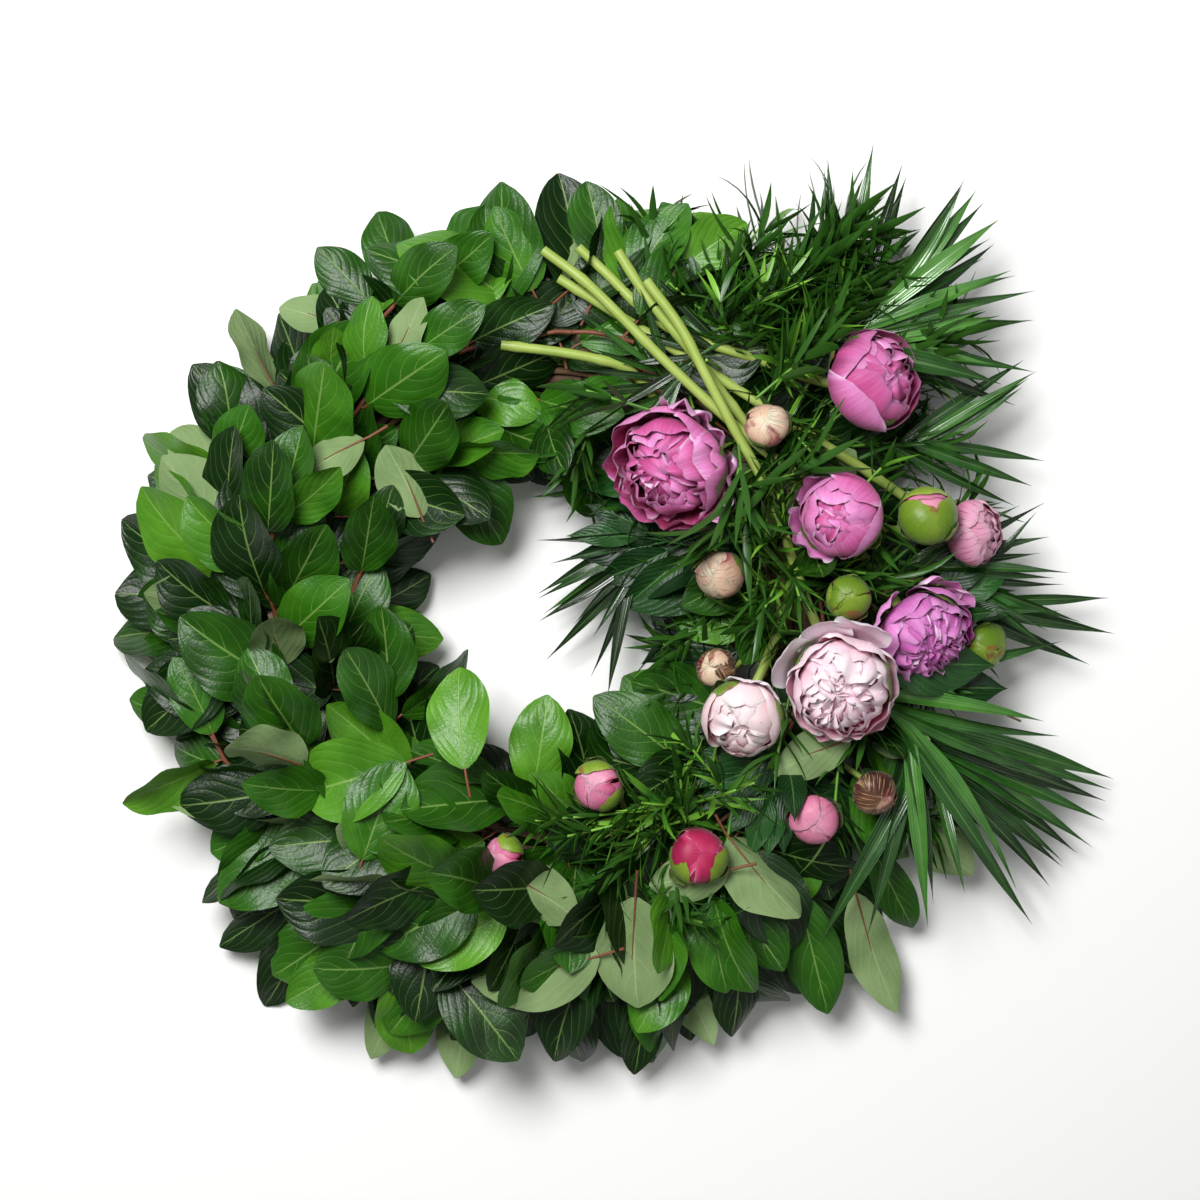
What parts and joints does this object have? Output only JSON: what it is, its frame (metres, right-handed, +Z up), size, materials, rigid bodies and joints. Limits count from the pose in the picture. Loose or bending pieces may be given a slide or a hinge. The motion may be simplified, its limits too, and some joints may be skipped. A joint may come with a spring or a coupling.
{
  "type": "memorial wreath",
  "caption": "Round memorial wreath lying on its back: a wire-bound brushwood ring under broad evergreen leaves, with a spray of palm leaves and pink peonies over one side",
  "frame": {"origin": "the middle of the wreath's footprint, on the surface that it lies on", "axes": "+Z up out of the face of the wreath, +Y towards its top, +X to the right of its face, the long way of its footprint"},
  "size_m": [0.7254, 0.6668, 0.1545],
  "materials": {
    "brushwood": "matte",
    "binding_wire": "satin",
    "salal_leaf": "satin",
    "palm_leaf": "satin",
    "peony_leaf": "satin",
    "narrow_leaf": "satin",
    "peony_stem": "satin",
    "petal_pink": "matte",
    "petal_blush": "matte",
    "bud_cream": "satin",
    "bud_green": "satin",
    "bud_brown": "satin",
    "bud_pink": "satin",
    "bud_magenta": "satin"
  },
  "bodies": {
    "root": {"brushwood_ring": "brushwood", "binding_wire": "binding_wire", "peony_head_1": "petal_pink", "peony_stem_1": "peony_stem", "peony_head_2": "petal_pink", "peony_stem_2": "peony_stem", "peony_head_3": "petal_pink", "peony_stem_3": "peony_stem", "peony_head_4": "petal_pink", "peony_stem_4": "peony_stem", "peony_head_5": "petal_blush", "peony_stem_5": "peony_stem", "peony_head_6": "petal_blush", "peony_stem_6": "peony_stem", "peony_head_7": "petal_pink", "peony_stem_7": "peony_stem", "peony_bud_1": "bud_cream", "peony_bud_2": "bud_green", "peony_bud_3": "bud_cream", "peony_bud_4": "bud_green", "peony_bud_5": "bud_brown", "peony_bud_6": "bud_brown", "peony_bud_7": "bud_pink", "peony_bud_8": "bud_magenta", "peony_bud_9": "bud_green", "peony_bud_10": "bud_green", "peony_bud_11": "bud_green", "palm_lower_right": "palm_leaf", "palm_right": "palm_leaf", "palm_upper_right": "palm_leaf", "palm_side": "palm_leaf", "palm_top": "palm_leaf", "palm_inner": "palm_leaf", "peony_leaves_inner": "peony_leaf", "peony_leaves_lower": "peony_leaf", "peony_leaves_right": "peony_leaf", "narrow_foliage_top": "narrow_leaf", "narrow_foliage_middle": "narrow_leaf", "narrow_foliage_bottom": "narrow_leaf", "salal_outer_1": "salal_leaf", "salal_outer_2": "salal_leaf", "salal_outer_3": "salal_leaf", "salal_outer_4": "salal_leaf", "salal_outer_5": "salal_leaf", "salal_outer_6": "salal_leaf", "salal_outer_7": "salal_leaf", "salal_crown_1": "salal_leaf", "salal_crown_2": "salal_leaf", "salal_crown_3": "salal_leaf", "salal_crown_4": "salal_leaf", "salal_crown_5": "salal_leaf", "salal_crown_6": "salal_leaf", "salal_crown_7": "salal_leaf", "salal_inner_1": "salal_leaf", "salal_inner_2": "salal_leaf", "salal_inner_3": "salal_leaf", "salal_inner_4": "salal_leaf", "salal_inner_5": "salal_leaf", "salal_inner_6": "salal_leaf", "salal_inner_7": "salal_leaf"}
  },
  "joints": []
}
